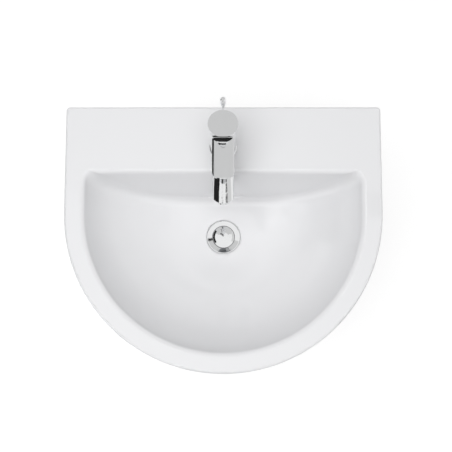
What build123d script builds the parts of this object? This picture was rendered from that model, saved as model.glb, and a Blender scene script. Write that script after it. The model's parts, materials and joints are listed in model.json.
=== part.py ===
from build123d import *
import math
import os

# A semi-pedestal basin with its mixer tap, pop-up waste and bottle trap, in millimetres.
# Heights are measured from the rim: the rim's top is 0, the wall plane is y = 0, the front is
# towards -Y, and x = 0 is the centre line. save() lifts everything by RIM_HEIGHT, so that the
# origin of the finished part lies midway between the two wall studs that carry the basin.
RIM_HEIGHT = 75.0

# Basin, seen from above: straight sides, then a half circle at the front.
WIDTH = 550.0
DEPTH = 460.0
HALF = WIDTH / 2
FRONT_CENTRE = HALF - DEPTH
CORNER_R = 6.0
DECK_T = 14.0
APRON_H = 58.0
WALL_T = 11.0
EDGE_R = 5.0

# Bowl: the same section is turned round the front and run straight back to the tap deck.
RIM_W = 35.0
BOWL_R = HALF - RIM_W
BOWL_DEPTH = 112.0
BOWL_ROUND = 3.0
BOWL_POWER = 0.8
BOWL_STEPS = (0.0, 0.28, 0.55, 0.78, 0.925, 1.0)
BOWL_RIM_SLOPE = 0.35
BOWL_BACK = -118.0
BOWL_LEAN = 15.0
CHINA_T = 12.0
CREASE_R = 15.0

# Skirt under the bowl, inside which the pipes run.
FOOT_OUT = 97.0
FOOT_IN = 86.0
FOOT_LOW = -142.0

# Back panels with the wall fixings.
PANEL_T = 13.0
PANEL_LOW = -142.0
FIX_SPACING = 280.0
FIX_HOLE_R = 13.0
FIX_STUD_R = 5.0
STUD_NECK = 0.2
STUD_FREE = 16.0
BUSH_FLANGE = 3.0

# Overflow: a hole in the bowl's back wall, a duct behind it and under the bowl to the waste.
OVERFLOW_R = 10.0
OVERFLOW_Z = -48.0
DUCT_W = 52.0
DUCT_TOP = -26.0
DUCT_T = 28.0
CHANNEL_W = 32.0
CHANNEL_T = 9.0

# Waste.
WASTE_Y = -218.0
WASTE_HOLE_R = 23.0
BOSS_R = 46.0
BOSS_LOW = -143.0
DIP_R = 84.0
DIP_TOP = -101.5
SEAT_R = 32.2
SEAT_Z = -117.7
FLANGE_R = 31.5
FLANGE_TUBE_R = 21.0
THROAT_R = 18.6
PLUG_R = 20.4
TAIL_R = 16.0
TAIL_LOW = -246.0
BALL_Y = -187.0
BALL_Z = -168.0
BALL_R = 6.0

# Lift rod and pivot arm. The rod leans back as it rises.
ROD_Y = -58.0
ROD_LEAN = 11.9
ROD_R = 2.0
ROD_TOP = 134.0
ROD_LOW = -178.0
KNOB_TOP = 143.0
KNOB_L = 24.5
KNOB_R = 4.25
ROD_TRAVEL = 22.0
ARM_R = 2.5
ARM_TILT = 6.65
CLAMP_X = -9.0
CLAMP_Z = -156.8
CLAMP_Y = ROD_Y + CLAMP_Z * math.tan(math.radians(ROD_LEAN))

# Tap.
TAP_Y = -72.0
TAP_HOLE_R = 17.5
BODY_R = 22.5
BODY_TOP = 112.0
BODY_LOW = 1.5
SPOUT_TIP = -184.0
OUTLET_Y = -168.0
CAVITY_LOW = 66.0
CAVITY_R = 17.8
NUT_BORE_R = 19.2
PIVOT_Z = 104.0
DOME_R = 22.0
SOCKET_R = 22.6
LEVER_R = 23.0
LEVER_BACK_LOW = 122.0
LEVER_FRONT_LOW = 114.5
LEVER_BACK_TOP = 155.0
LEVER_FRONT_TOP = 170.0
VALLEY_R = 20.0
VALLEY_Y = -105.0
VALLEY_Z = 153.0
PADDLE_W = 34.0
PADDLE_LOW = 123.5
PADDLE_TOP = 132.5
PADDLE_END = -150.0
PADDLE_CROWN = 60.0
TAIL_PIPE_X = 9.5
TAIL_PIPE_R = 5.0
TAIL_PIPE_LOW = -232.0
TAIL_PIPE_FREE = 25.0
TAIL_BEND_X = 30.0
TAIL_BEND_TOP = -48.0
TAIL_BEND_LOW = -112.0
TAP_STUD_Y = -82.0
TAP_STUD_R = 4.0

# Semi-pedestal: height, half width and the centre of its round front, from top to bottom.
PEDESTAL_SECTIONS = ((-120.0, 112.0, -185.0), (-230.0, 109.0, -180.0),
                     (-350.0, 102.0, -164.0), (-440.0, 90.0, -134.0))
PEDESTAL_T = 10.0
SEAL_RISE = 10.0
LUG_Z = -260.0
LUG_X = 76.0
LUG_HOLE_R = 6.0
PED_STUD_R = 4.0

# Bottle trap.
TRAP_Z = -272.0
TRAP_R = 27.0
TRAP_LOW = -352.0
PIPE_R = 16.0
PIPE_BEHIND = 55.0


def bar(radius, low, high, x=0.0, y=0.0):
    """A round bar along Z."""
    return Pos(x, y, (low + high) / 2) * Cylinder(radius, high - low)


def tube(outer, inner, low, high, x=0.0, y=0.0):
    """A round tube along Z."""
    return bar(outer, low, high, x, y) - bar(inner, low - 1, high + 1, x, y)


def block(x0, x1, y0, y1, z0, z1):
    """A box between two corners."""
    centre = Pos((x0 + x1) / 2, (y0 + y1) / 2, (z0 + z1) / 2)
    return centre * Box(x1 - x0, y1 - y0, z1 - z0)


def turned(points, y=0.0):
    """A solid of revolution about the vertical line at y, from (radius, height) points."""
    section = Plane.XZ * Polygon(*points, align=None)
    return Pos(0, y, 0) * revolve(section, Axis.Z)


def hex_bar(flats, bore, low, high):
    """A hexagon nut along Z."""
    flat = Pos(0, 0, low) * RegularPolygon(flats / 2, 6, major_radius=False)
    blank = extrude(flat, high - low, dir=(0, 0, 1))
    return blank - bar(bore, low - 1, high + 1)


def biggest(shape):
    """The largest solid of a shape."""
    return sorted(shape.solids(), key=lambda s: s.volume)[-1]


def backwards(x, z):
    """The place whose own Z axis points at the wall, along +Y."""
    return Pos(x, 0, z) * Rot(-90, 0, 0)


def both_sides(shape):
    """A shape and its mirror image in the centre plane."""
    return Compound([shape, mirror(shape, Plane.YZ)])


def outline(half, low, high, back=0.0, centre=FRONT_CENTRE):
    """The D shape of the basin: straight sides and a round front."""
    path = Wire([
        Line((half, back), (half, centre)),
        ThreePointArc((half, centre), (0, centre - half), (-half, centre)),
        Line((-half, centre), (-half, back)),
        Line((-half, back), (half, back)),
    ])
    return extrude(Pos(0, 0, low) * Face(path), high - low, dir=(0, 0, 1))


def dish(radius, depth, back):
    """A bowl-shaped solid: one section turned round the front and run straight back."""
    points = [(radius * s, -depth * (1 - s ** BOWL_ROUND) ** BOWL_POWER) for s in BOWL_STEPS]
    curve = Spline(*points, tangents=((1, 0), (BOWL_RIM_SLOPE, 1)))
    top = 30.0
    lip = (radius + BOWL_RIM_SLOPE * top, top)
    edges = [curve, Line((radius, 0), lip), Line(lip, (0, top)), Line((0, top), points[0])]
    half = Plane.XZ * Face(Wire(edges))
    front = revolve(half, Axis.Z, 180)
    if front.bounding_box().max.Y > 1:
        front = mirror(front, Plane.XZ)
    section = half + mirror(half, Plane.YZ)
    rear = extrude(section, back - FRONT_CENTRE, dir=(0, 1, 0))
    return Pos(0, FRONT_CENTRE, 0) * (front + rear)


def behind_bowl(distance):
    """Everything behind the leaning back wall, from the given distance on."""
    place = Pos(0, BOWL_BACK, 0) * Rot(-BOWL_LEAN, 0, 0)
    return place * Pos(0, distance + 150, 0) * Box(900, 300, 900)


def lies_on_back(edge):
    """Whether an edge lies in the plane of the bowl's back wall."""
    lean = math.radians(BOWL_LEAN)
    points = [edge @ 0.1, edge @ 0.5, edge @ 0.9]
    away = [(p.Y - BOWL_BACK) * math.cos(lean) - p.Z * math.sin(lean) for p in points]
    return max(abs(d) for d in away) < 0.05


def bowl_space():
    """The inside of the bowl."""
    space = dish(BOWL_R, BOWL_DEPTH, BOWL_BACK + 20) - behind_bowl(0)
    on_back = [e for e in space.edges() if lies_on_back(e) and e.center().Z < 29]
    return fillet(on_back, CREASE_R)


def back_panels():
    """The two panels that lie against the wall, each with a fixing hole."""
    panels = dish(HALF - WALL_T, -PANEL_LOW, 0) & block(-HALF, HALF, -PANEL_T, 0, PANEL_LOW - 1, -1)
    panels -= block(-FOOT_IN, FOOT_IN, -PANEL_T - 1, 1, PANEL_LOW - 2, 0)
    for x in (-FIX_SPACING / 2, FIX_SPACING / 2):
        panels -= backwards(x, -RIM_HEIGHT) * bar(FIX_HOLE_R, -30, 10)
    return panels


def overflow_duct():
    """The china round the overflow channel."""
    place = Pos(0, BOWL_BACK, 0) * Rot(-BOWL_LEAN, 0, 0)
    rear = place * block(-DUCT_W / 2, DUCT_W / 2, 0, DUCT_T, -170, DUCT_TOP)
    under = block(-DUCT_W / 2, DUCT_W / 2, WASTE_Y, BOWL_BACK, BOSS_LOW, -90)
    return (rear & block(-60, 60, -300, 0, BOSS_LOW, 0)) + under


def overflow_channel():
    """The way of the water from the overflow hole to the waste."""
    place = Pos(0, BOWL_BACK, 0) * Rot(-BOWL_LEAN, 0, 0)
    depth = CHINA_T - 1
    low = -137.0
    down = place * block(-CHANNEL_W / 2, CHANNEL_W / 2, depth, depth + CHANNEL_T, low, OVERFLOW_Z + 14)
    forward = block(-CHANNEL_W / 2, CHANNEL_W / 2, WASTE_Y, BOWL_BACK - 20, low + 1, low + 11)
    hole = place * Pos(0, 0, OVERFLOW_Z) * Rot(-90, 0, 0) * bar(OVERFLOW_R, -10, depth + 2)
    return down + forward + hole


def rim_edges(body):
    """The edges of the deck's top that are rounded, inner and outer."""
    top = [e for e in body.edges() if e.bounding_box().min.Z > -0.01]
    return [e for e in top if e.length > 30 and e.center().Y < -1]


def basin():
    """The vitreous china basin."""
    slab = outline(HALF, -DECK_T, 0)
    apron = outline(HALF, -APRON_H, 0) - outline(HALF - WALL_T, -APRON_H - 1, 1, back=5)
    belly = dish(BOWL_R + CHINA_T, BOWL_DEPTH + CHINA_T, 0)
    belly = (belly & block(-400, 400, -600, 0, -300, -1)) - behind_bowl(CHINA_T)
    foot = outline(FOOT_OUT, FOOT_LOW, -1) - outline(FOOT_IN, FOOT_LOW - 1, 1, back=5)
    boss = bar(BOSS_R, BOSS_LOW, -90, y=WASTE_Y)
    body = slab + apron + belly + foot + boss + overflow_duct() + back_panels()
    body -= bowl_space()
    corners = [e for e in body.edges().filter_by(Axis.Z) if abs(e.center().X) > HALF - 1]
    body = fillet([e for e in corners if e.center().Y > -1], CORNER_R)
    body = fillet(rim_edges(body), EDGE_R)
    dip = [(0, DIP_TOP + 3), (DIP_R, DIP_TOP + 3), (DIP_R, DIP_TOP), (SEAT_R, SEAT_Z + 2.8),
           (SEAT_R, SEAT_Z), (WASTE_HOLE_R, SEAT_Z), (WASTE_HOLE_R, -160), (0, -160)]
    body -= turned(dip, WASTE_Y)
    body -= overflow_channel()
    body -= bar(TAP_HOLE_R, -DECK_T - 5, 5, y=TAP_Y)
    return body


def pedestal_shape(shrink, back):
    """The half pedestal's outer or inner form, lofted through its sections."""
    faces = []
    for level, half, centre in PEDESTAL_SECTIONS:
        flat = outline(half - shrink, 0, 1, back, centre).faces().sort_by(Axis.Z)[0]
        faces.append(Pos(0, 0, level) * flat)
    return loft(faces)


def semi_pedestal():
    """The china cover below the basin, open at its top, back and bottom."""
    shell = pedestal_shape(0, 0) - pedestal_shape(PEDESTAL_T, 30)
    lug = block(LUG_X - 16, 100, -12, 0, LUG_Z - 32, LUG_Z + 32)
    lugs = (lug + mirror(lug, Plane.YZ)) & pedestal_shape(2, 0)
    shell += lugs
    for x in (-LUG_X, LUG_X):
        shell -= backwards(x, LUG_Z) * bar(LUG_HOLE_R, -30, 5)
    return shell - block(-HALF, HALF, -PANEL_T - 0.5, 1, PANEL_LOW - 0.5, 0)


def pedestal_seal(china):
    """The soft strip between the cover's top edge and the bowl."""
    top = PEDESTAL_SECTIONS[0][0]
    half = PEDESTAL_SECTIONS[0][1]
    strip = outline(half - 1, top, top + SEAL_RISE, 0)
    strip -= outline(half - 9, top - 1, top + SEAL_RISE + 1, 5)
    strip -= behind_bowl(-1)
    return biggest(strip - china)


def wall_fixings(x, z, stud_r, face, free):
    """Stud, washer and nut on both sides of the centre line."""
    place = backwards(x, z)
    step = BUSH_FLANGE if free == STUD_FREE else 0.0
    neck_r = stud_r - STUD_NECK
    stud = place * bar(stud_r, 0, free) + place * bar(neck_r, face - 30, 0)
    washer = place * tube(stud_r * 2.6, stud_r + 0.3, face - step - 2, face - step)
    nut = place * hex_bar(stud_r * 3.4, neck_r + 0.04, face - step - 2 - stud_r * 1.7, face - step - 2)
    return [both_sides(s) for s in (stud, washer, nut)]


def rod_line():
    """The place of the lift rod: its Z axis runs up the rod from the deck's level."""
    return Pos(0, ROD_Y, 0) * Rot(-ROD_LEAN, 0, 0)


def along_rod(height):
    """The distance along the rod at a height."""
    return height / math.cos(math.radians(ROD_LEAN))


def spout():
    """The spout: flattened sections that grow slimmer towards its round tip."""
    sections = ((TAP_Y + 4, 37.0, 50.0, 73.5), (-118.0, 36.5, 39.0, 77.5),
                (-150.0, 35.6, 27.0, 82.0), (SPOUT_TIP - 2, 33.0, 19.0, 85.0))
    faces = []
    for y, width, height, middle in sections:
        place = Pos(0, y, middle) * Rot(90, 0, 0)
        faces.append(place * Face(Wire([Edge.make_ellipse(width / 2, height / 2)])))
    solid = loft(faces)
    tip_r = 20.0
    plan = Polygon((-25, TAP_Y + 10), (25, TAP_Y + 10), (25, SPOUT_TIP + tip_r),
                   (-25, SPOUT_TIP + tip_r), align=None)
    area = extrude(plan, 200, dir=(0, 0, 1)) + Pos(0, SPOUT_TIP + tip_r, 0) * bar(tip_r, 0, 200)
    return solid & area


def slanted_bar(radius, start, end):
    """A round bar in the centre plane between two (y, z) points."""
    run = Vector(0, end[0] - start[0], end[1] - start[1])
    place = Plane(origin=(0, start[0], start[1]), z_dir=run).location
    return place * bar(radius, 0, run.length)


def tap_body():
    """The cast body with its spout, waterways and seats."""
    body = bar(BODY_R, BODY_LOW, BODY_TOP, y=TAP_Y) + spout()
    foot = bar(BODY_R + 1, BODY_LOW, BODY_LOW + 4, y=TAP_Y)
    body += chamfer(foot.edges().group_by(Axis.Z)[-1], 0.8)
    body -= bar(CAVITY_R, CAVITY_LOW, BODY_TOP + 5, y=TAP_Y)
    body -= bar(NUT_BORE_R, 98, BODY_TOP + 5, y=TAP_Y)
    body -= slanted_bar(5.0, (-84.0, 58.0), (OUTLET_Y, 82.5))
    body -= slanted_bar(4.0, (-82.0, 54.0), (-82.0, CAVITY_LOW + 1))
    body -= bar(11.2, 60, 86, y=OUTLET_Y) + bar(12.3, 60, 71.2, y=OUTLET_Y)
    for x in (-TAIL_PIPE_X, TAIL_PIPE_X):
        body -= bar(3.2, 10, CAVITY_LOW + 1, x, TAP_Y)
        body -= bar(TAIL_PIPE_R + 0.04, 0, 16, x, TAP_Y)
    body -= bar(TAP_STUD_R + 0.04, 0, 18, y=TAP_STUD_Y)
    body -= rod_line() * bar(3.5, -5, 60)
    return body


def tap_fixings():
    """What holds the tap to the deck from below."""
    low = -DECK_T
    slot = block(-15.2, 15.2, TAP_Y - 5.4, TAP_Y + 40, low - 30, low + 1)
    rubber = bar(24, low - 3, low, y=TAP_Y) - slot - bar(TAP_STUD_R + 0.3, low - 9, low + 9, y=TAP_STUD_Y)
    plate = bar(23, low - 5, low - 3, y=TAP_Y) - slot
    plate -= bar(TAP_STUD_R + 0.3, low - 9, low + 9, y=TAP_STUD_Y)
    nut = Pos(0, TAP_STUD_Y, 0) * hex_bar(13, TAP_STUD_R + 0.04, low - 14, low - 5)
    save("tap_base_seal", tube(BODY_R - 1, 19, 0, BODY_LOW, y=TAP_Y))
    save("tap_fixing_stud", bar(TAP_STUD_R, -62, 17, y=TAP_STUD_Y))
    save("tap_fixing_rubber", rubber)
    save("tap_fixing_plate", plate)
    save("tap_fixing_nut", nut)


def tail_bar(radius, low, high):
    """A bar along the way of one tail: straight down, bent outwards, then straight down again."""
    start = (TAIL_PIPE_X, TAP_Y, TAIL_BEND_TOP)
    end = (TAIL_BEND_X, TAP_Y, TAIL_BEND_LOW)
    bend = Spline(start, end, tangents=((0, 0, -1), (0, 0, -1)))
    path = Wire([Line((TAIL_PIPE_X, TAP_Y, high), start), bend, Line(end, (TAIL_BEND_X, TAP_Y, low))])
    section = Plane(origin=(TAIL_PIPE_X, TAP_Y, high), z_dir=(0, 0, -1)) * Circle(radius)
    return sweep(section, path)


def tap_tails():
    """The two copper inlet tails and their seals."""
    tail = tail_bar(TAIL_PIPE_R, TAIL_PIPE_LOW, 14) - tail_bar(TAIL_PIPE_R - 0.8, TAIL_PIPE_LOW - 1, 15)
    for level in (6.0, 10.0):
        tail -= tube(TAIL_PIPE_R + 1, TAIL_PIPE_R - 0.5, level, level + 1.2, TAIL_PIPE_X, TAP_Y)
    mark = TAIL_PIPE_LOW + TAIL_PIPE_FREE
    tail -= tube(TAIL_PIPE_R + 1, TAIL_PIPE_R - 0.2, mark, mark + 1, TAIL_BEND_X, TAP_Y)
    rings = tube(TAIL_PIPE_R, TAIL_PIPE_R - 0.5, 6, 7.2, TAIL_PIPE_X, TAP_Y)
    upper = Pos(0, 0, 4) * rings
    save("tap_tails", both_sides(tail))
    save("tail_seals", Compound([rings, upper, mirror(rings, Plane.YZ), mirror(upper, Plane.YZ)]))


def aerator():
    """The outlet fitting under the spout's tip."""
    housing = tube(11.9, 9.4, 67.5, 79, y=OUTLET_Y) & bar(11.1, 60, 90, y=OUTLET_Y)
    housing += tube(12.0, 9.4, 67.5, 71, y=OUTLET_Y)
    insert = bar(9.3, 68.5, 78.5, y=OUTLET_Y)
    for turn in range(3):
        groove = tube(2.6 + 2.6 * turn, 1.4 + 2.6 * turn, 67, 74, y=OUTLET_Y)
        insert -= groove
    save("aerator_housing", housing)
    save("aerator_insert", insert)
    save("aerator_washer", tube(11.0, 7.5, 79, 81, y=OUTLET_Y))


def cartridge():
    """The ceramic cartridge, its cover and the nut that holds it down."""
    y = TAP_Y
    housing = turned([(10.08, 110), (13, 110), (13, 98), (17.5, 98), (17.5, 67.2), (0, 67.2),
                      (0, 72), (15, 72), (15, 97.9), (10.08, 97.9)], y)
    fixed = bar(14.9, 72, 76, y=y)
    seals = []
    for x, back, bore in ((-TAIL_PIPE_X, 0, 3.2), (TAIL_PIPE_X, 0, 3.2), (0, -10, 4.0)):
        housing -= bar(bore - 0.4, 60, 74, x, y + back)
        fixed -= bar(bore - 0.4, 60, 80, x, y + back)
        seals.append(tube(bore + 1.4, bore, CAVITY_LOW, CAVITY_LOW + 1.2, x, y + back))
    save("cartridge_housing", housing)
    save("fixed_ceramic_disc", fixed)
    save("cartridge_seals", Compound(seals))
    save("cartridge_nut", tube(19.1, 13.3, 98.2, 107, y=y) - cross_slots(y))
    save("cartridge_cover", dome(y))


def cross_slots(y):
    """The two key slots across the top of the cartridge nut."""
    return block(-30, 30, y - 3, y + 3, 105, 109) + block(-3, 3, y - 30, y + 30, 105, 109)


def dome(y):
    """The polished dome between the body and the lever."""
    centre = Pos(0, y, PIVOT_Z)
    shell = centre * Sphere(DOME_R) - centre * Sphere(DOME_R - 2)
    shell &= block(-50, 50, y - 50, y + 50, BODY_TOP, PIVOT_Z + 30)
    shell -= bar(11.6, BODY_TOP, PIVOT_Z + 31, y=y)
    return shell + tube(19.1, 18.0, 109, BODY_TOP + 1, y=y)


def cartridge_moving():
    """The pieces inside the cartridge that move with the lever."""
    y = TAP_Y
    carrier = bar(10.0, 92, 109.8, y=y) + bar(14.5, 92, 97.6, y=y)
    carrier -= block(-3.8, 3.8, y - 6.2, y + 6.2, 95, 112)
    carrier -= block(-3.8, 3.8, y - 8.6, y + 8.6, 90, 98)
    hole = Pos(0, y, PIVOT_Z) * Rot(0, 90, 0)
    carrier -= hole * bar(1.5, -11, 11)
    save("cartridge_carrier", carrier)
    save("stem_pin", hole * bar(1.5, -9.5, 9.5))
    stem = block(-3.5, 3.5, y - 3, y + 3, 89.6, 156) - hole * bar(1.55, -11, 11)
    stem += bar(2.4, 84, 91, y=y) + Pos(0, y, 85) * Sphere(3.2)
    save("cartridge_stem", stem)
    disc_y = y + 3.2
    disc = bar(10, 76.05, 88, y=disc_y) - bar(3.4, 81, 89, y=y)
    disc -= block(-7, 7, y - 8, y + 2, 75, 78.5)
    save("moving_ceramic_disc", biggest(disc))


def lever():
    """The lever: a round head with a slanted top and a flat paddle to the front."""
    y = TAP_Y
    back = y + LEVER_R
    front = y - LEVER_R
    side = Polygon((front, LEVER_FRONT_LOW), (back, LEVER_BACK_LOW), (back, LEVER_BACK_TOP),
                   (front, LEVER_FRONT_TOP), align=None)
    slab = Pos(-40, 0, 0) * extrude(Plane.YZ * side, 80, dir=(1, 0, 0))
    head = bar(LEVER_R, 100, 190, y=y) & slab
    head -= Pos(0, VALLEY_Y, VALLEY_Z) * Rot(0, 90, 0) * bar(VALLEY_R, -40, 40)
    paddle = block(-PADDLE_W / 2, PADDLE_W / 2, PADDLE_END, y - 12, PADDLE_LOW, 140)
    ends = [e for e in paddle.edges().filter_by(Axis.Z) if e.center().Y < PADDLE_END + 1]
    paddle = fillet(ends, 10)
    crown = Pos(0, 0, PADDLE_TOP - PADDLE_CROWN) * Rot(90, 0, 0) * bar(PADDLE_CROWN, 60, 200)
    paddle &= crown
    whole = head + paddle
    whole -= Pos(0, y, PIVOT_Z) * Sphere(SOCKET_R)
    whole -= block(-3.6, 3.6, y - 3.1, y + 3.1, 110, 156.5)
    screw = backwards(0, 150)
    whole -= screw * bar(2.5, -110, y - 3)
    whole -= screw * bar(3.6, -110, y - 12)
    save("lever", whole)
    save("lever_grub_screw", screw * bar(2.45, y - 11.5, y - 3.05) - screw * hex_key(y))
    save("index_button", screw * bar(3.5, y - 14.0, y - 12.1))


def hex_key(y):
    """The key socket of the grub screw."""
    flat = Pos(0, 0, y - 13) * RegularPolygon(1.25, 6, major_radius=False)
    return extrude(flat, 5, dir=(0, 0, 1))


def lift_rod():
    """The pop-up rod with its knob, guide and clamp."""
    line = rod_line()
    top = along_rod(KNOB_TOP)
    low = top - KNOB_L
    knob = turned([(0, top), (KNOB_R - 1.2, top), (KNOB_R, top - 1.4), (KNOB_R, low + 9),
                   (ROD_R + 0.8, low), (ROD_R, low), (ROD_R, top - 10), (0, top - 10)])
    save("lift_knob", line * knob)
    save("lift_rod", line * bar(ROD_R, along_rod(ROD_LOW), top - 10))
    bush = tube(3.4, ROD_R + 0.06, 22, 46)
    save("rod_guide_bush", line * bush)
    block_shape = block(CLAMP_X - 6, 6, CLAMP_Y - 5, CLAMP_Y + 5, CLAMP_Z - 6, CLAMP_Z + 6)
    block_shape -= line * bar(ROD_R, along_rod(ROD_LOW) - 40, 0)
    block_shape -= arm_plan() * bar(3.8, 80, 120)
    rod_screw = backwards(0, CLAMP_Z) * bar(2, CLAMP_Y - 9, CLAMP_Y - ROD_R)
    head = backwards(0, CLAMP_Z) * bar(3.4, CLAMP_Y - 12, CLAMP_Y - 8)
    head -= block(-0.6, 0.6, CLAMP_Y - 20, CLAMP_Y - 11, CLAMP_Z - 9, CLAMP_Z + 9)
    side = Pos(CLAMP_X, CLAMP_Y, 0)
    under = side * bar(2, CLAMP_Z - 10, CLAMP_Z - 4) + side * bar(3.4, CLAMP_Z - 12, CLAMP_Z - 9)
    under -= arm_plan() * bar(3.8, 80, 120)
    screws = Compound([rod_screw + head, under])
    block_shape -= backwards(0, CLAMP_Z) * bar(2, CLAMP_Y - 9, CLAMP_Y)
    block_shape -= side * bar(2, CLAMP_Z - 10, CLAMP_Z - 1)
    save("rod_clamp", block_shape)
    save("clamp_screws", screws - line * bar(ROD_R + 0.01, along_rod(ROD_LOW), 0))


def arm_plan():
    """The level line from the ball to the clamp, as a place whose Z axis runs along it."""
    run = Vector(CLAMP_X, CLAMP_Y - BALL_Y, 0)
    return Pos(0, 0, CLAMP_Z) * Plane(origin=(0, BALL_Y, 0), z_dir=run).location


def pivot_arm():
    """The arm that turns the rod's stroke into the plug's."""
    rise = math.tan(math.radians(ARM_TILT))
    ball = (0, BALL_Y, BALL_Z)
    run = CLAMP_Y - BALL_Y
    outer_end = (CLAMP_X * 1.1, BALL_Y + run * 1.1, BALL_Z + run * 1.1 * rise)
    inner_end = (0, WASTE_Y, BALL_Z - (BALL_Y - WASTE_Y) * rise)
    arm = rod_between(ball, outer_end) + rod_between(ball, inner_end)
    arm += Pos(*ball) * Sphere(BALL_R) + Pos(*inner_end) * Sphere(3.2)
    arm += Pos(*outer_end) * Sphere(ARM_R)
    save("pivot_arm", arm)
    return inner_end[2]


def rod_between(start, end):
    """A round rod of the arm's size between two points."""
    run = Vector(*end) - Vector(*start)
    return Plane(origin=start, z_dir=run).location * bar(ARM_R, 0, run.length)


def waste(arm_tip):
    """The pop-up waste in the bowl's floor."""
    y = WASTE_Y
    flange = turned([(FLANGE_R, -116.4), (FLANGE_R, -115.2), (FLANGE_R - 0.9, -114.5),
                     (29.5, -114.4), (21.2, -115.8), (THROAT_R, -121.5), (THROAT_R, -156),
                     (FLANGE_TUBE_R, -156), (FLANGE_TUBE_R, -121), (22.4, -119.8), (22.4, -117.6),
                     (24, -116.4)], y)
    flange -= block(-8, 8, y - 26, y + 26, -137, -127) - bar(14, -138, -126, y=y)
    save("waste_flange", flange)
    save("flange_seal", tube(31, 25, SEAT_Z, -116.4, y=y))
    body = turned([(FLANGE_TUBE_R + 0.04, -147.2), (29, -147.2), (29, -151), (25, -151), (25, -188),
                   (TAIL_R, -193), (TAIL_R, TAIL_LOW), (TAIL_R - 2, TAIL_LOW), (TAIL_R - 2, -190),
                   (THROAT_R, -185), (THROAT_R, -158), (FLANGE_TUBE_R + 0.04, -158)], y)
    port = backwards(0, BALL_Z)
    body += port * bar(11.5, y + 20, y + 42)
    body -= port * bar(6.5, y + 10, y + 43)
    body -= bar(THROAT_R, -185, -158, y=y)
    save("waste_body", body)
    save("waste_bottom_seal", tube(29, FLANGE_TUBE_R + 0.3, -147.2, BOSS_LOW, y=y))
    seat = port * bar(6.45, BALL_Y - 6, BALL_Y + 10) - port * bar(4.2, BALL_Y - 20, BALL_Y + 20)
    seat -= Pos(0, BALL_Y, BALL_Z) * Sphere(BALL_R + 0.08)
    save("pivot_seat", seat)
    nut = port * hex_bar(27, 11.54, y + 30, y + 45) + port * tube(13.5, 5.8, y + 42.1, y + 45)
    save("pivot_nut", nut)
    save("plug", plug())
    ring = Pos(0, y, -118.4) * Torus(16.2, 1.5)
    save("plug_seal", ring)
    head = arm_tip + 3.2 + 0.35
    save("plug_height_screw", bar(3, head + 2, -142, y=y) + bar(4.5, head, head + 3, y=y))
    save("plug_lock_nut", Pos(0, y, 0) * hex_bar(10, 3.04, -154, -150))


def plug():
    """The plug with its dome, stem and guide fins."""
    y = WASTE_Y
    shape = turned([(0, -112.4), (9, -112.6), (16, -113.3), (PLUG_R - 0.6, -114.3), (PLUG_R, -114.9),
                    (PLUG_R - 0.4, -115.5), (17.4, -116), (15.0, -116.6), (15.0, -120.2),
                    (12, -121), (4.5, -122), (4.5, -150), (3, -150), (3, -141), (0, -141)], y)
    for turn in (30, 150, 270):
        fin = Pos(0, y, 0) * Rot(0, 0, turn) * block(3.5, 18.2, -0.8, 0.8, -148, -121.5)
        shape += fin
    return shape - Pos(0, y, -118.4) * Torus(16.2, 1.5)


def bottle_trap():
    """The trap, its cup, nuts, washers, outlet pipe and wall plate."""
    y = WASTE_Y
    top = -238.0
    body = turned([(TAIL_R + 0.2, top), (19.5, top), (19.5, -252), (TRAP_R, -256), (TRAP_R, -306),
                   (TRAP_R - 3, -306), (TRAP_R - 3, -259), (13.6, -259), (13.6, -330), (11.6, -330),
                   (11.6, -247), (TAIL_R + 0.2, -247)], y)
    port = backwards(0, TRAP_Z)
    body += port * bar(19.5, y + 20, y + 44)
    body -= port * bar(PIPE_R + 0.2, y + 30, y + 45)
    body -= port * bar(13, y + 20, y + 45)
    inner = turned([(TRAP_R - 3, -259), (13.6, -259), (13.6, -305), (TRAP_R - 3, -305)], y)
    body -= inner
    save("trap_body", body)
    save("trap_inlet_nut", grip_nut(25, 19.54, TAIL_R + 0.3, -249.5, top + 7, y))
    save("trap_inlet_washer", tube(19.3, TAIL_R + 0.02, top, top + 3, y=y))
    cup = turned([(TRAP_R + 0.04, -294), (TRAP_R + 4, -294), (TRAP_R + 4, -307), (TRAP_R, -310),
                  (TRAP_R, TRAP_LOW + 10), (TRAP_R - 10, TRAP_LOW), (0, TRAP_LOW), (0, TRAP_LOW + 3),
                  (TRAP_R - 11, TRAP_LOW + 3), (TRAP_R - 3, TRAP_LOW + 11), (TRAP_R - 3, -308),
                  (TRAP_R + 0.04, -308)], y)
    for turn in range(16):
        cup -= Pos(0, y, 0) * Rot(0, 0, turn * 22.5) * bar(1.6, -312, -293, TRAP_R + 5)
    save("trap_cup", cup)
    save("trap_cup_seal", tube(TRAP_R - 0.1, TRAP_R - 2.8, -308, -306, y=y))
    outlet = y + 44
    nut = grip_nut(25, 19.54, PIPE_R + 0.3, outlet - 12, outlet + 7, 0)
    save("trap_outlet_nut", port * nut)
    save("trap_outlet_washer", port * tube(19.3, PIPE_R + 0.02, outlet, outlet + 3))
    pipe = tube(PIPE_R, PIPE_R - 2, outlet - 13, PIPE_BEHIND) - tube(PIPE_R + 1, PIPE_R - 0.2, 0, 1)
    save("waste_pipe", port * pipe)
    plate = turned([(PIPE_R + 0.3, 0), (36, 0), (36, -2), (30, -9), (PIPE_R + 3, -12), (PIPE_R + 0.3, -12),
                    (PIPE_R + 0.3, -10), (28, -7), (33, -1.5), (33, -0.6), (PIPE_R + 0.3, -0.6)], 0)
    save("wall_escutcheon", port * plate)


def grip_nut(outer, thread, bore, low, high, y):
    """A plastic union nut with grip flutes, its closed end on top."""
    nut = tube(outer, thread, low, high - 4, y=y) + tube(outer, bore, high - 4, high, y=y)
    for turn in range(12):
        nut -= Pos(0, y, 0) * Rot(0, 0, turn * 30) * bar(1.8, low - 1, high + 1, outer + 0.6)
    return nut


def save(name, shape):
    """Write one piece at its place in the finished part."""
    export_step(Pos(0, 0, RIM_HEIGHT) * shape, f"parts/{name}.step")


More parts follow.
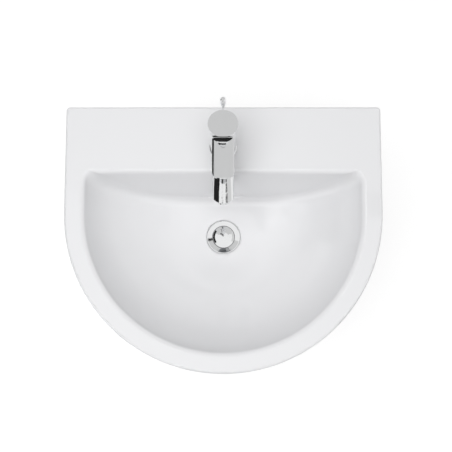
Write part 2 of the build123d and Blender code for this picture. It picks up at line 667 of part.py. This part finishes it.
def main():
    """Build and write every piece."""
    os.makedirs("parts", exist_ok=True)
    china = basin()
    save("basin", china)
    save("semi_pedestal", semi_pedestal())
    save("pedestal_seal", pedestal_seal(china))
    studs, washers, nuts = wall_fixings(FIX_SPACING / 2, -RIM_HEIGHT, FIX_STUD_R, -PANEL_T, STUD_FREE)
    save("basin_wall_studs", studs)
    save("basin_fixing_washers", washers)
    save("basin_fixing_nuts", nuts)
    place = backwards(FIX_SPACING / 2, -RIM_HEIGHT)
    bush = place * tube(FIX_HOLE_R - 0.2, FIX_STUD_R + 0.2, -PANEL_T, -1)
    bush += place * tube(FIX_HOLE_R + 5, FIX_STUD_R + 0.2, -PANEL_T - BUSH_FLANGE, -PANEL_T)
    save("basin_fixing_bushes", both_sides(bush))
    studs, washers, nuts = wall_fixings(LUG_X, LUG_Z, PED_STUD_R, -12, PIPE_BEHIND)
    save("pedestal_wall_studs", studs)
    save("pedestal_fixing_washers", washers)
    save("pedestal_fixing_nuts", nuts)
    save("tap_body", tap_body())
    tap_fixings()
    tap_tails()
    aerator()
    cartridge()
    cartridge_moving()
    lever()
    lift_rod()
    waste(pivot_arm())
    bottle_trap()


main()
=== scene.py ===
import json
import logging
import math
from dataclasses import dataclass
from enum import Enum
from typing import Dict, List, Sequence, Tuple

import bpy
import numpy as np
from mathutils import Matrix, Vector


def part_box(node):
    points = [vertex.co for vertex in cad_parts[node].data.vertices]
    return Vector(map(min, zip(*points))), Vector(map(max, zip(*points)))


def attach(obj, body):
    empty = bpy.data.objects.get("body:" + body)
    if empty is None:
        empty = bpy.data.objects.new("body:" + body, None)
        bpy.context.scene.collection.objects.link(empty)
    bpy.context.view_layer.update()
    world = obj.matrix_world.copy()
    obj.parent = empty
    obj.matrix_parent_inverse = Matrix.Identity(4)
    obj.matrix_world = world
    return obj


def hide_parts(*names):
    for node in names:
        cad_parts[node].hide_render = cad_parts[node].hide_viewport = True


log = logging.getLogger("basin")
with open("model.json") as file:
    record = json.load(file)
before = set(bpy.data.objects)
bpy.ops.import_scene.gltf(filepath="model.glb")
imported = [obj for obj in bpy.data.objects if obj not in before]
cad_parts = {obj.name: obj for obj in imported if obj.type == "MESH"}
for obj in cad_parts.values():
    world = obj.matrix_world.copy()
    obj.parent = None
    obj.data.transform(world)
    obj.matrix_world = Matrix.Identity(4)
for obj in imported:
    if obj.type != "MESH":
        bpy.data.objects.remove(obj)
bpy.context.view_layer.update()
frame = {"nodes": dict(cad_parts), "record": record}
MM = 0.001
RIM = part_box("basin")[1][2]

Colour = Tuple[float, float, float, float]
Place = Tuple[float, float, float]
Span = Tuple[float, float]


def grey(level: float) -> Colour:
    """A neutral colour.

    Args:
        level: How light it is.

    Returns:
        The colour.
    """
    return (level, level, level, 1.0)


class Kind(Enum):
    """The kinds of surface on this object."""

    GLAZE = "glaze"
    PLATED = "plated"
    MACHINED = "machined"
    MOULDED = "moulded"
    SOFT = "soft"


@dataclass(frozen=True)
class Finish:
    """How one kind of piece looks.

    Args:
        name: The material's name.
        kind: What sort of surface it is.
        colour: Its plain colour.
        rough: Its lowest and highest roughness.
        metal: 1 for a metal.
        coat: The weight of a clear glaze or lacquer.
        drift: How far the colour drifts from place to place.
        peel: The height of its fine unevenness in millimetres.
        grain: How many grains of unevenness lie in a metre.
        run: How the grain is stretched along X, Y and Z.
    """

    name: str
    kind: Kind
    colour: Colour
    rough: Span
    metal: float = 0.0
    coat: float = 0.0
    drift: float = 0.02
    peel: float = 0.01
    grain: float = 300.0
    run: Place = (1.0, 1.0, 1.0)


CHINA = Finish("glazed_china", Kind.GLAZE, (0.785, 0.787, 0.80, 1.0), (0.30, 0.36), coat=1.0, drift=0.008,
               peel=0.010, grain=22.0)
CHROME = Finish("polished_chrome", Kind.PLATED, (0.82, 0.825, 0.83, 1.0), (0.04, 0.09), metal=1.0,
                drift=0.02, peel=0.0008, grain=420.0)
BRASS = Finish("turned_brass", Kind.MACHINED, (0.72, 0.55, 0.27, 1.0), (0.22, 0.38), metal=1.0, drift=0.10,
               peel=0.010, grain=500.0, run=(1.0, 1.0, 6.0))
STEEL = Finish("zinc_plated_steel", Kind.MACHINED, (0.62, 0.62, 0.60, 1.0), (0.24, 0.42), metal=1.0,
               drift=0.08, peel=0.010, grain=600.0, run=(1.0, 4.0, 1.0))
COPPER = Finish("drawn_copper", Kind.MACHINED, (0.76, 0.42, 0.28, 1.0), (0.20, 0.36), metal=1.0, drift=0.14,
                peel=0.006, grain=700.0, run=(3.0, 3.0, 0.2))
RUBBER = Finish("black_rubber", Kind.SOFT, (0.028, 0.028, 0.030, 1.0), (0.55, 0.75), drift=0.20, peel=0.02,
                grain=900.0)
WHITE_PLASTIC = Finish("white_moulded_plastic", Kind.MOULDED, (0.80, 0.80, 0.79, 1.0), (0.28, 0.40),
                       drift=0.02, peel=0.012, grain=700.0)
GREY_PLASTIC = Finish("grey_moulded_plastic", Kind.MOULDED, (0.30, 0.31, 0.32, 1.0), (0.38, 0.52),
                      drift=0.05, peel=0.015, grain=800.0)
DISC_CERAMIC = Finish("lapped_ceramic", Kind.MACHINED, (0.80, 0.79, 0.75, 1.0), (0.12, 0.22), drift=0.02,
                      peel=0.003, grain=900.0)
FOAM = Finish("closed_cell_foam", Kind.SOFT, (0.74, 0.74, 0.73, 1.0), (0.75, 0.90), drift=0.06, peel=0.10,
              grain=1400.0)


class Groups:
    """The node groups that the finishes share, each built once."""

    CLOUD_DETAIL = 3.0
    SMEAR_DETAIL = 5.0
    SMEAR_RANGE = (0.3, 0.7)
    GRAIN_DETAIL = 2.0
    MIX_LIGHT = 6
    MIX_DARK = 7
    MIX_RESULT = 2

    def __init__(self) -> None:
        """Build all the groups."""
        self.drift = self.tone_drift()
        self.wear = self.wear_roughness()
        self.height = self.fine_height()

    @staticmethod
    def begin(name: str, inputs: Sequence[Tuple[str, str, object]],
              output: Tuple[str, str]) -> Tuple[bpy.types.NodeTree, bpy.types.Node, bpy.types.Node]:
        """Start a group with its sockets.

        Args:
            name: The group's name.
            inputs: Name, socket type and default value of each input.
            output: Name and socket type of the one output.

        Returns:
            The tree, its input node and its output node.
        """
        tree = bpy.data.node_groups.new(name, "ShaderNodeTree")
        for label, kind, value in inputs:
            socket = tree.interface.new_socket(label, in_out="INPUT", socket_type=kind)
            if value is not None:
                socket.default_value = value
        tree.interface.new_socket(output[0], in_out="OUTPUT", socket_type=output[1])
        return tree, tree.nodes.new("NodeGroupInput"), tree.nodes.new("NodeGroupOutput")

    def tone_drift(self) -> bpy.types.NodeTree:
        """A colour that drifts slowly between its own tone and a darker one.

        Returns:
            The group's tree.
        """
        tree, start, end = self.begin("tone_drift", (
            ("Vector", "NodeSocketVector", None), ("Light", "NodeSocketColor", grey(0.8)),
            ("Dark", "NodeSocketColor", grey(0.7)), ("Scale", "NodeSocketFloat", 6.0)),
            ("Color", "NodeSocketColor"))
        cloud = tree.nodes.new("ShaderNodeTexNoise")
        cloud.inputs["Detail"].default_value = self.CLOUD_DETAIL
        mix = tree.nodes.new("ShaderNodeMix")
        mix.data_type = "RGBA"
        tree.links.new(start.outputs["Vector"], cloud.inputs["Vector"])
        tree.links.new(start.outputs["Scale"], cloud.inputs["Scale"])
        tree.links.new(cloud.outputs["Fac"], mix.inputs["Factor"])
        tree.links.new(start.outputs["Light"], mix.inputs[self.MIX_LIGHT])
        tree.links.new(start.outputs["Dark"], mix.inputs[self.MIX_DARK])
        tree.links.new(mix.outputs[self.MIX_RESULT], end.inputs["Color"])
        return tree

    def wear_roughness(self) -> bpy.types.NodeTree:
        """A roughness that varies between two values in fine smears.

        Returns:
            The group's tree.
        """
        tree, start, end = self.begin("wear_roughness", (
            ("Vector", "NodeSocketVector", None), ("Low", "NodeSocketFloat", 0.2),
            ("High", "NodeSocketFloat", 0.4), ("Scale", "NodeSocketFloat", 40.0)),
            ("Roughness", "NodeSocketFloat"))
        smear = tree.nodes.new("ShaderNodeTexNoise")
        smear.inputs["Detail"].default_value = self.SMEAR_DETAIL
        spread = tree.nodes.new("ShaderNodeMapRange")
        spread.inputs["From Min"].default_value = self.SMEAR_RANGE[0]
        spread.inputs["From Max"].default_value = self.SMEAR_RANGE[1]
        tree.links.new(start.outputs["Vector"], smear.inputs["Vector"])
        tree.links.new(start.outputs["Scale"], smear.inputs["Scale"])
        tree.links.new(smear.outputs["Fac"], spread.inputs["Value"])
        tree.links.new(start.outputs["Low"], spread.inputs["To Min"])
        tree.links.new(start.outputs["High"], spread.inputs["To Max"])
        tree.links.new(spread.outputs["Result"], end.inputs["Roughness"])
        return tree

    def fine_height(self) -> bpy.types.NodeTree:
        """A fine unevenness, whose grain can be stretched along the axes.

        Returns:
            The group's tree.
        """
        tree, start, end = self.begin("fine_height", (
            ("Vector", "NodeSocketVector", None), ("Grain", "NodeSocketFloat", 300.0),
            ("Run", "NodeSocketVector", (1.0, 1.0, 1.0))), ("Height", "NodeSocketFloat"))
        stretch = tree.nodes.new("ShaderNodeVectorMath")
        stretch.operation = "MULTIPLY"
        grain = tree.nodes.new("ShaderNodeTexNoise")
        grain.inputs["Detail"].default_value = self.GRAIN_DETAIL
        tree.links.new(start.outputs["Vector"], stretch.inputs[0])
        tree.links.new(start.outputs["Run"], stretch.inputs[1])
        tree.links.new(stretch.outputs["Vector"], grain.inputs["Vector"])
        tree.links.new(start.outputs["Grain"], grain.inputs["Scale"])
        tree.links.new(grain.outputs["Fac"], end.inputs["Height"])
        return tree


class Paint:
    """Makes each finish's material once and hands it out."""

    COAT_ROUGHNESS = 0.03
    IOR = 1.5
    BASIN_CLOUDS = 7.0
    SMALL_CLOUDS = 60.0

    def __init__(self) -> None:
        """Start with no materials made."""
        self.groups = Groups()
        self.made: Dict[str, bpy.types.Material] = {}

    def material(self, finish: Finish) -> bpy.types.Material:
        """The material of a finish.

        Args:
            finish: What it should look like.

        Returns:
            The material, made on first use.
        """
        if finish.name not in self.made:
            self.made[finish.name] = self.build(finish)
        return self.made[finish.name]

    def build(self, finish: Finish) -> bpy.types.Material:
        """Build one material from the shared groups.

        Args:
            finish: What it should look like.

        Returns:
            The new material.
        """
        made = bpy.data.materials.new(finish.name)
        made.use_nodes = True
        tree = made.node_tree
        shader = tree.nodes["Principled BSDF"]
        shader.inputs["Metallic"].default_value = finish.metal
        shader.inputs["Coat Weight"].default_value = finish.coat
        shader.inputs["Coat Roughness"].default_value = self.COAT_ROUGHNESS
        shader.inputs["IOR"].default_value = self.IOR
        place = tree.nodes.new("ShaderNodeTexCoord").outputs["Object"]
        tone = self.group(tree, self.groups.drift, place)
        tone.inputs["Light"].default_value = finish.colour
        darker = 1 - 2 * finish.drift
        tone.inputs["Dark"].default_value = tuple(c * darker for c in finish.colour[:3]) + (1.0,)
        clouds = self.BASIN_CLOUDS if finish.kind is Kind.GLAZE else self.SMALL_CLOUDS
        tone.inputs["Scale"].default_value = clouds
        tree.links.new(tone.outputs["Color"], shader.inputs["Base Color"])
        wear = self.group(tree, self.groups.wear, place)
        wear.inputs["Low"].default_value, wear.inputs["High"].default_value = finish.rough
        tree.links.new(wear.outputs["Roughness"], shader.inputs["Roughness"])
        height = self.group(tree, self.groups.height, place)
        height.inputs["Grain"].default_value = finish.grain
        height.inputs["Run"].default_value = finish.run
        bump = tree.nodes.new("ShaderNodeBump")
        bump.inputs["Distance"].default_value = finish.peel * MM
        tree.links.new(height.outputs["Height"], bump.inputs["Height"])
        tree.links.new(bump.outputs["Normal"], shader.inputs["Normal"])
        return made

    @staticmethod
    def group(tree: bpy.types.NodeTree, inner: bpy.types.NodeTree,
              place: bpy.types.NodeSocket) -> bpy.types.Node:
        """Put a shared group into a material.

        Args:
            tree: The material's tree.
            inner: The group's tree.
            place: The socket that gives the place on the piece.

        Returns:
            The group's node.
        """
        node = tree.nodes.new("ShaderNodeGroup")
        node.node_tree = inner
        tree.links.new(place, node.inputs["Vector"])
        return node


SLOT_FINISH = {
    "china": CHINA, "chrome": CHROME, "brass": BRASS, "steel": STEEL, "copper": COPPER, "rubber": RUBBER,
    "white_plastic": WHITE_PLASTIC, "grey_plastic": GREY_PLASTIC, "ceramic_disc": DISC_CERAMIC, "foam": FOAM,
}


class Bench:
    """Where new pieces are modelled."""

    @staticmethod
    def clear() -> None:
        """Leave edit mode and deselect everything."""
        if bpy.context.mode != "OBJECT":
            bpy.ops.object.mode_set(mode="OBJECT")
        bpy.ops.object.select_all(action="DESELECT")

    @staticmethod
    def pick(piece: bpy.types.Object) -> None:
        """Make one piece the only selected one.

        Args:
            piece: The piece.
        """
        Bench.clear()
        piece.select_set(True)
        bpy.context.view_layer.objects.active = piece

    @staticmethod
    def tidy(piece: bpy.types.Object, gap: float = 1e-6) -> None:
        """Merge a piece's doubles and point its faces outwards.

        Args:
            piece: The piece.
            gap: How near two points are to be one, in metres.
        """
        Bench.pick(piece)
        bpy.ops.object.mode_set(mode="EDIT")
        bpy.ops.mesh.select_all(action="SELECT")
        bpy.ops.mesh.remove_doubles(threshold=gap)
        bpy.ops.mesh.normals_make_consistent(inside=False)
        bpy.ops.object.mode_set(mode="OBJECT")

    @staticmethod
    def apply(piece: bpy.types.Object, kind: str, **values: object) -> None:
        """Add a modifier with its values and apply it.

        Args:
            piece: The piece.
            kind: The modifier's type.
            values: Its settings by name.
        """
        Bench.pick(piece)
        modifier = piece.modifiers.new(kind.lower(), kind)
        for name, value in values.items():
            setattr(modifier, name, value)
        bpy.ops.object.modifier_apply(modifier=modifier.name)

    @staticmethod
    def smooth(piece: bpy.types.Object, degrees: float) -> None:
        """Shade a piece smooth where its faces turn less than an angle.

        Args:
            piece: The piece.
            degrees: The angle.
        """
        Bench.pick(piece)
        bpy.ops.object.shade_smooth_by_angle(angle=math.radians(degrees))


@dataclass
class Carried:
    """The pieces that keep their built shape and get their finish here.

    Args:
        paint: Where the materials come from.
    """

    paint: Paint

    def dress(self) -> None:
        """Give every carried-over piece the finish of its slot."""
        slots = {part["node"]: part["material_slot"] for part in frame["record"]["subparts"]}
        for name, piece in frame["nodes"].items():
            finish = SLOT_FINISH[slots[name]]
            for place in piece.material_slots:
                place.material = self.paint.material(finish)
            log.info("dressed %s in %s", name, finish.name)


@dataclass
class Basin:
    """The china basin, whose bowl is cut once more with flowing surfaces.

    The lengths are in millimetres, and heights are from the rim.

    Args:
        paint: Where the materials come from.
        fresh: How far the new bowl lies under the built one, so that nothing of the old surface is left.
        bowl_r: The radius of the bowl's round form at the rim.
        bowl_depth: Its depth.
        bowl_power: How flat its floor is; a higher power is flatter.
        bowl_root: How steeply its side begins.
        bowl_edge: The share of the radius past which the form stays as it is.
        side_r: The radius past which the side rises straight.
        side_slope: How steeply it rises there.
        front_centre: The place of the centre of the front's arc.
        back: The place of the back wall at the rim.
        lean: How far the back wall leans, in degrees.
        crest_r: The rounding between the bowl and the rim.
        crest_lift: How far the rounding ends over the rim, so that it leaves no skin.
        crease_r: The rounding between the back wall and the floor.
        waste_y: The place of the waste.
        seat_r: The radius of the waste's seat.
        seat_rise: The seat's height.
        cone_slope: The slope of the shallow cone round the seat.
        cone_curve: How it steepens outwards.
        blend: The height over which the cone runs into the round form.
        reach: The half width of the cutter at its edge.
        outer_back: The place of the cutter's back edge.
        lid: How far the cutter stands over the rim's edge.
        rows: How many rings the cutter has.
        crowding: How much its rings crowd towards the edge.
        side_steps: How many steps each straight side has.
        back_steps: How many steps the back has.
        arc_steps: How many steps the front's arc has.
        search: The lowest and the highest height that the surface may have.
        halvings: How often the span between them is halved.
        probe: The step with which slopes are taken.
        seam: How near two of the cutter's points are to be one, in metres.
        crease_angle: The angle in degrees at which edges stay sharp.
        face_weight: How much large faces count in the normals, where 50 is even.
    """

    paint: Paint
    fresh: float = 1.0
    bowl_r: float = 240.0
    bowl_depth: float = 112.0
    bowl_power: int = 3
    bowl_root: float = 0.8
    bowl_edge: float = 0.99
    side_r: float = 237.9
    side_slope: float = 2.6
    front_centre: float = -185.0
    back: float = -118.0
    lean: float = 15.0
    crest_r: float = 7.0
    crest_lift: float = 0.03
    crease_r: float = 15.0
    waste_y: float = -218.0
    seat_r: float = 32.2
    seat_rise: float = -114.2
    cone_slope: float = 0.10
    cone_curve: float = 0.0036
    blend: float = 5.0
    reach: float = 251.0
    outer_back: float = -107.0
    lid: float = 20.0
    rows: int = 96
    crowding: float = 1.6
    side_steps: int = 14
    back_steps: int = 26
    arc_steps: int = 96
    search: Span = (-125.0, 3.0)
    halvings: int = 40
    probe: float = 0.5
    seam: float = 1e-7
    crease_angle: float = 32.0
    face_weight: int = 100

    def dish(self, x: np.ndarray, y: np.ndarray) -> np.ndarray:
        """The height of the bowl's round form, with the shallow cone round the waste blended in.

        Args:
            x: Places across.
            y: Places towards the wall.

        Returns:
            The heights.
        """
        radius = np.where(y > self.front_centre, np.abs(x), np.hypot(x, y - self.front_centre))
        share = radius / (self.bowl_r + self.fresh)
        inside = 1.0 - np.minimum(share, self.bowl_edge) ** self.bowl_power
        side = self.side_slope * np.maximum(0.0, radius - self.side_r)
        bowl = -(self.bowl_depth + self.fresh) * inside ** self.bowl_root + side
        out = np.hypot(x, y - self.waste_y) - self.seat_r
        rise = self.cone_slope * out + self.cone_curve * np.maximum(out, 0.0) ** 2
        cone = self.seat_rise - self.fresh + rise
        near = np.maximum(self.blend - np.abs(bowl - cone), 0.0)
        return np.minimum(bowl, cone) - near * near / (4.0 * self.blend)

    def heights(self, x: np.ndarray, y: np.ndarray) -> np.ndarray:
        """The height of the finished bowl's surface, with its crest and crease rounded.

        Args:
            x: Places across.
            y: Places towards the wall.

        Returns:
            The heights, found by halving the span between floor and rim.
        """
        step = self.probe
        floor = self.dish(x, y)
        slope_x = (self.dish(x + step, y) - self.dish(x - step, y)) / (2 * step)
        slope_y = (self.dish(x, y + step) - self.dish(x, y - step)) / (2 * step)
        upright = 1.0 / np.sqrt(1.0 + slope_x ** 2 + slope_y ** 2)
        tan = math.tan(math.radians(self.lean))
        cos = math.cos(math.radians(self.lean))
        low = np.full_like(x, self.search[0])
        high = np.full_like(x, self.search[1])
        for _ in range(self.halvings):
            z = (low + high) / 2
            from_dish = (z - floor) * upright
            from_back = (self.back + self.fresh + z * tan - y) * cos
            gap = self.both(from_dish, from_back, self.crease_r)
            solid = self.both(-gap, -z + self.crest_lift, self.crest_r)
            filled = solid > 0
            low = np.where(filled, z, low)
            high = np.where(filled, high, z)
        return (low + high) / 2

    @staticmethod
    def both(first: np.ndarray, second: np.ndarray, radius: float) -> np.ndarray:
        """How deep a place lies inside two bodies at once, with their shared edge rounded.

        Args:
            first: Depth inside the first body.
            second: Depth inside the second one.
            radius: The rounding's radius.

        Returns:
            The depth inside both.
        """
        corner = np.hypot(np.maximum(radius - first, 0.0), np.maximum(radius - second, 0.0))
        inner = np.minimum(np.maximum(first, radius), np.maximum(second, radius))
        return np.where(corner > 0, radius - corner, inner)

    def ring(self, half: float, back: float) -> Tuple[np.ndarray, np.ndarray]:
        """One D-shaped ring: along the back to the right, down the side, round the front and up.

        Args:
            half: Its half width.
            back: The place of its straight back.

        Returns:
            The places across and towards the wall, of which the last is the first again.
        """
        along = np.sin(np.linspace(-0.5, 0.5, self.back_steps + 1) * math.pi)[:-1] * half
        side = back + (self.front_centre - back) * np.linspace(0.0, 1.0, self.side_steps + 1)[:-1]
        turn = -math.pi * np.linspace(0.0, 1.0, self.arc_steps + 1)
        arc_x = half * np.cos(turn)
        arc_y = self.front_centre + half * np.sin(turn)
        x = np.concatenate([along, np.full_like(side, half), arc_x, np.full_like(side, -half)])
        y = np.concatenate([np.full_like(along, back), side, arc_y, side[::-1]])
        return x, y

    def cutter(self) -> bpy.types.Object:
        """The body of the bowl's air, whose underside is the new surface.

        Returns:
            The cutter.
        """
        count = len(self.ring(1.0, 0.0)[0])
        Bench.clear()
        bpy.ops.mesh.primitive_grid_add(x_subdivisions=count - 1, y_subdivisions=self.rows - 1, size=1.0)
        piece = bpy.context.active_object
        piece.name = "bowl_cutter"
        places = []
        for row in range(self.rows):
            inward = (row / (self.rows - 1)) ** self.crowding
            half = self.reach * (1.0 - inward)
            back = self.outer_back + (self.front_centre - self.outer_back) * inward
            x, y = self.ring(half, back)
            z = self.heights(x, y)
            places.append(np.stack([x, y, z], axis=1))
        flat = np.concatenate(places) * MM
        flat[:, 2] += RIM
        piece.data.vertices.foreach_set("co", flat.astype(np.float32).ravel())
        piece.data.update()
        Bench.pick(piece)
        bpy.ops.object.mode_set(mode="EDIT")
        bpy.ops.mesh.select_all(action="SELECT")
        bpy.ops.mesh.remove_doubles(threshold=self.seam)
        bpy.ops.mesh.select_all(action="DESELECT")
        bpy.ops.mesh.select_non_manifold(extend=False)
        bpy.ops.mesh.extrude_region_move(TRANSFORM_OT_translate={"value": (0.0, 0.0, self.lid * MM)})
        bpy.ops.mesh.edge_face_add()
        bpy.ops.object.mode_set(mode="OBJECT")
        Bench.tidy(piece)
        return piece

    def build(self) -> List[bpy.types.Object]:
        """Cut the new bowl into a copy of the built basin.

        Returns:
            The finished basin.
        """
        built = frame["nodes"]["basin"]
        mesh = built.data.copy()
        mesh.name = "glazed_basin"
        basin = bpy.data.objects.new("glazed_basin", mesh)
        bpy.context.scene.collection.objects.link(basin)
        Bench.tidy(basin)
        cutter = self.cutter()
        Bench.apply(basin, "BOOLEAN", operation="DIFFERENCE", solver="EXACT", object=cutter)
        bpy.data.objects.remove(cutter)
        Bench.smooth(basin, self.crease_angle)
        Bench.apply(basin, "WEIGHTED_NORMAL", mode="FACE_AREA", weight=self.face_weight, keep_sharp=True)
        basin.data.materials.clear()
        basin.data.materials.append(self.paint.material(CHINA))
        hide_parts("basin")
        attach(basin, "fixed")
        return [basin]


def level_card(x: Span, y: Span, z: float) -> List[Place]:
    """The corners of a card that lies level.

    Args:
        x: Its left and right edges.
        y: Its near and far edges.
        z: Its height.

    Returns:
        The corners, the nearer row first.
    """
    return [(across, along, z) for along in y for across in x]


def upright_card(x: Span, y: Span, top: float) -> List[Place]:
    """The corners of a card that stands upright, from the wall fixings' height up.

    Args:
        x: Where the line starts and ends across.
        y: Where it starts and ends towards the wall.
        top: The height of its upper edge.

    Returns:
        The corners, the lower row first.
    """
    return [(across, along, z) for z in (0.0, top) for across, along in zip(x, y)]


@dataclass
class Studio:
    """The floor, the lamp, the sky, the cards and the camera, in metres.

    Args:
        floor_z: The floor's height.
        floor_size: The length of its side.
        floor_grey: Its colour's level.
        floor_rough: Its roughness.
        floor_lift: How much it glows for the eye alone.
        eye: Where the camera stands.
        tilt: How far it tilts forwards from straight down, in degrees.
        lens: Its focal length in millimetres.
        sensor: Its sensor's width in millimetres.
        sky: The strength of the even light.
        key: The lamp's power in watts.
        key_place: Where the lamp stands.
        key_target: What it looks at.
        key_size: The length of its side.
        card_z: The height of the level cards and of the upright ones' upper edges.
        card_gap: How far the grey card lies over the others.
        dark: The dark cards' level.
        middle: The grey card's level.
        pale: The pale card's level.
        white: The white cards' level.
    """

    floor_z: float = -0.775
    floor_size: float = 9.0
    floor_grey: float = 0.86
    floor_rough: float = 0.9
    floor_lift: float = 0.42
    eye: Place = (0.0046, -0.341, 1.275)
    tilt: float = 6.24
    lens: float = 56.07
    sensor: float = 36.0
    sky: float = 0.40
    key: float = 46.0
    key_place: Place = (-0.30, -0.50, 2.5)
    key_target: Place = (0.0, -0.2, 0.0)
    key_size: float = 1.6
    card_z: float = 1.66
    card_gap: float = 0.02
    dark: float = 0.02
    middle: float = 0.70
    pale: float = 0.75
    white: float = 1.0

    def build(self) -> None:
        """Build everything round the object."""
        self.camera()
        self.world()
        self.floor()
        self.lamp("key_lamp", self.key_place, self.key_target, self.key_size, self.key)
        self.cards()
        bpy.context.scene.view_settings.view_transform = "Standard"

    def camera(self) -> None:
        """Set the camera at the photograph's angle."""
        data = bpy.data.cameras.new("camera")
        data.lens = self.lens
        data.sensor_width = self.sensor
        camera = bpy.data.objects.new("camera", data)
        bpy.context.scene.collection.objects.link(camera)
        camera.location = self.eye
        camera.rotation_euler = (math.radians(self.tilt), 0.0, 0.0)
        bpy.context.scene.camera = camera

    def seen(self, tree: bpy.types.NodeTree) -> bpy.types.NodeSocket:
        """A mask that is 1 for what the eye sees straight, in a gloss or through a clear thing.

        Args:
            tree: The tree to put it in.

        Returns:
            The mask's socket.
        """
        path = tree.nodes.new("ShaderNodeLightPath")
        first = tree.nodes.new("ShaderNodeMath")
        first.operation = "MAXIMUM"
        second = tree.nodes.new("ShaderNodeMath")
        second.operation = "MAXIMUM"
        tree.links.new(path.outputs["Is Camera Ray"], first.inputs[0])
        tree.links.new(path.outputs["Is Glossy Ray"], first.inputs[1])
        tree.links.new(first.outputs[0], second.inputs[0])
        tree.links.new(path.outputs["Is Transmission Ray"], second.inputs[1])
        return second.outputs[0]

    def world(self) -> None:
        """A white background over a softer even light."""
        world = bpy.data.worlds.new("studio_sky")
        bpy.context.scene.world = world
        world.use_nodes = True
        tree = world.node_tree
        light = tree.nodes["Background"]
        light.inputs["Color"].default_value = grey(1.0)
        light.inputs["Strength"].default_value = self.sky
        white = tree.nodes.new("ShaderNodeBackground")
        white.inputs["Color"].default_value = grey(1.0)
        white.inputs["Strength"].default_value = 1.0
        mix = tree.nodes.new("ShaderNodeMixShader")
        tree.links.new(self.seen(tree), mix.inputs[0])
        tree.links.new(light.outputs[0], mix.inputs[1])
        tree.links.new(white.outputs[0], mix.inputs[2])
        tree.links.new(mix.outputs[0], tree.nodes["World Output"].inputs["Surface"])

    def floor(self) -> None:
        """A plain pale floor that keeps the object's shadow."""
        Bench.clear()
        bpy.ops.mesh.primitive_plane_add(size=self.floor_size, location=(0.0, 0.0, self.floor_z))
        floor = bpy.context.active_object
        floor.name = "floor"
        made = bpy.data.materials.new("pale_floor")
        made.use_nodes = True
        tree = made.node_tree
        shader = tree.nodes["Principled BSDF"]
        shader.inputs["Base Color"].default_value = grey(self.floor_grey)
        shader.inputs["Roughness"].default_value = self.floor_rough
        shader.inputs["Emission Color"].default_value = grey(1.0)
        lift = tree.nodes.new("ShaderNodeMath")
        lift.operation = "MULTIPLY"
        lift.inputs[1].default_value = self.floor_lift
        tree.links.new(self.seen(tree), lift.inputs[0])
        tree.links.new(lift.outputs[0], shader.inputs["Emission Strength"])
        floor.data.materials.append(made)

    def lamp(self, name: str, place: Place, target: Place, size: float, power: float) -> None:
        """A square soft lamp that looks at a point.

        Args:
            name: Its name.
            place: Where it stands.
            target: What it looks at.
            size: The length of its side.
            power: Its power in watts.
        """
        data = bpy.data.lights.new(name, "AREA")
        data.size = size
        data.energy = power
        lamp = bpy.data.objects.new(name, data)
        bpy.context.scene.collection.objects.link(lamp)
        lamp.location = place
        aim = Vector(target) - Vector(place)
        lamp.rotation_euler = aim.to_track_quat("-Z", "Y").to_euler()
        lamp.visible_glossy = False

    def card(self, name: str, level: float, corners: Sequence[Place]) -> None:
        """A card round the object that only gloss sees.

        Args:
            name: Its name.
            level: How bright it is.
            corners: Its four corners, row by row.
        """
        Bench.clear()
        bpy.ops.mesh.primitive_plane_add(size=1.0)
        card = bpy.context.active_object
        card.name = name
        for point, corner in zip(card.data.vertices, corners):
            point.co = corner
        made = bpy.data.materials.new(name)
        made.use_nodes = True
        tree = made.node_tree
        glow = tree.nodes.new("ShaderNodeEmission")
        glow.inputs["Color"].default_value = grey(1.0)
        glow.inputs["Strength"].default_value = level
        tree.links.new(glow.outputs[0], tree.nodes["Material Output"].inputs["Surface"])
        card.data.materials.append(made)
        card.visible_camera = False
        card.visible_diffuse = False
        card.visible_shadow = False
        card.visible_transmission = False

    def cards(self) -> None:
        """The cards whose reflections draw the chrome's form."""
        low = self.card_z
        for name, level, x, y, z in (
                ("grey_card", self.middle, (-3.0, 3.0), (0.10, 4.5), low + self.card_gap),
                ("left_dark_card", self.dark, (-5.0, -0.80), (-1.2, 0.9), low),
                ("left_white_strip", self.white, (-0.72, -0.32), (0.0, 0.09), low),
                ("middle_dark_strip", self.dark, (-0.24, 0.0), (0.0, 0.09), low),
                ("right_white_strip", self.white, (0.02, 0.43), (0.0, 0.09), low),
                ("right_dark_strip", self.dark, (0.43, 0.87), (0.0, 0.10), low),
                ("far_light_card", self.pale, (0.87, 5.0), (-0.6, 0.8), low)):
            self.card(name, level, level_card(x, y, z))
        self.card("left_dark_wall", self.dark, upright_card((-2.2, -2.2), (-0.9, 0.7), low))
        self.card("front_dark_wall", self.dark, upright_card((-0.55, 0.30), (-2.0, -2.0), low))


def main() -> None:
    """Build the scene piece by piece."""
    logging.basicConfig(level=logging.INFO)
    paint = Paint()
    Carried(paint).dress()
    for piece in Basin(paint).build():
        log.info("modelled %s with %d faces", piece.name, len(piece.data.polygons))
    Studio().build()
    Bench.clear()


if __name__ == "__main__":
    main()
